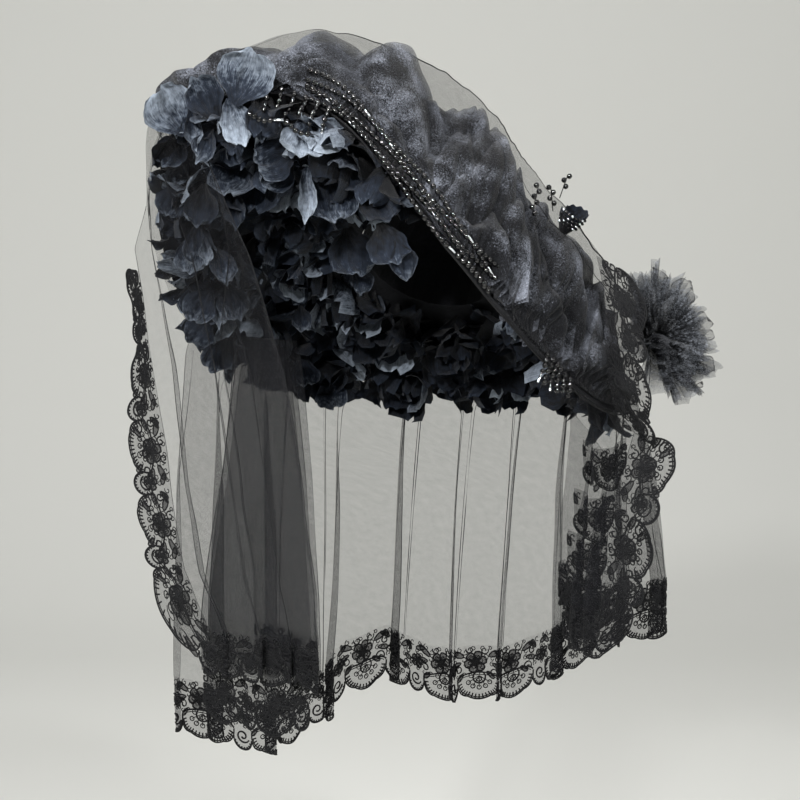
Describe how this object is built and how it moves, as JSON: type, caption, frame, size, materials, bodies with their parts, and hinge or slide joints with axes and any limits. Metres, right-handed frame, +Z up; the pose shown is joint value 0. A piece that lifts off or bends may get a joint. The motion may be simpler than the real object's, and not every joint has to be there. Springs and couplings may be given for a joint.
{
  "type": "mourning hat",
  "caption": "Wide-brimmed black mourning hat with petal-lined brim, jet bead trim, tulle fans, rosette and a draped veil edged in scalloped lace.",
  "frame": {"origin": "centre of the crown's head opening, where the hat sits on a head", "axes": "+Z up as worn, wearer's front towards -Y, wearer's left towards +X"},
  "size_m": [0.7202, 0.5233, 0.9392],
  "materials": {
    "felt": "matt black wool felt",
    "petal_organza": "crumpled charcoal-navy organza",
    "crinoline": "stiff black crinoline tulle",
    "jet_beads": "polished jet-black glass beads",
    "tulle": "sheer black veil tulle",
    "lace": "corded black lace"
  },
  "bodies": {
    "root": {"crown": "felt", "brim": "felt", "bead_band": "jet_beads", "bead_fringe": "jet_beads", "bead_strings_side": "jet_beads", "bead_drops": "jet_beads", "bead_spray_low": "jet_beads", "bead_spray_middle": "jet_beads", "bead_spray_tall": "jet_beads", "veil": "tulle", "veil_left_fall": "tulle", "veil_right_fall": "tulle", "hem_lace": "lace", "left_fall_lace": "lace", "right_fall_lace": "lace", "rosette_core": "felt", "rosette_outer_ruffle": "crinoline", "rosette_inner_ruffle": "crinoline", "rolled_bud": "petal_organza", "blossom_01": "petal_organza", "blossom_02": "petal_organza", "blossom_03": "petal_organza", "blossom_04": "petal_organza", "blossom_05": "petal_organza", "blossom_06": "petal_organza", "blossom_07": "petal_organza", "blossom_08": "petal_organza", "blossom_09": "petal_organza", "blossom_10": "petal_organza", "blossom_11": "petal_organza", "blossom_12": "petal_organza", "blossom_13": "petal_organza", "blossom_14": "petal_organza", "blossom_15": "petal_organza", "blossom_16": "petal_organza", "blossom_17": "petal_organza", "tulle_fan_1": "crinoline", "tulle_fan_2": "crinoline", "tulle_fan_3": "crinoline", "tulle_fan_4": "crinoline", "tulle_fan_5": "crinoline", "tulle_fan_6": "crinoline", "tulle_fan_7": "crinoline", "tulle_fan_8": "crinoline", "tulle_fan_9": "crinoline"}
  },
  "joints": []
}
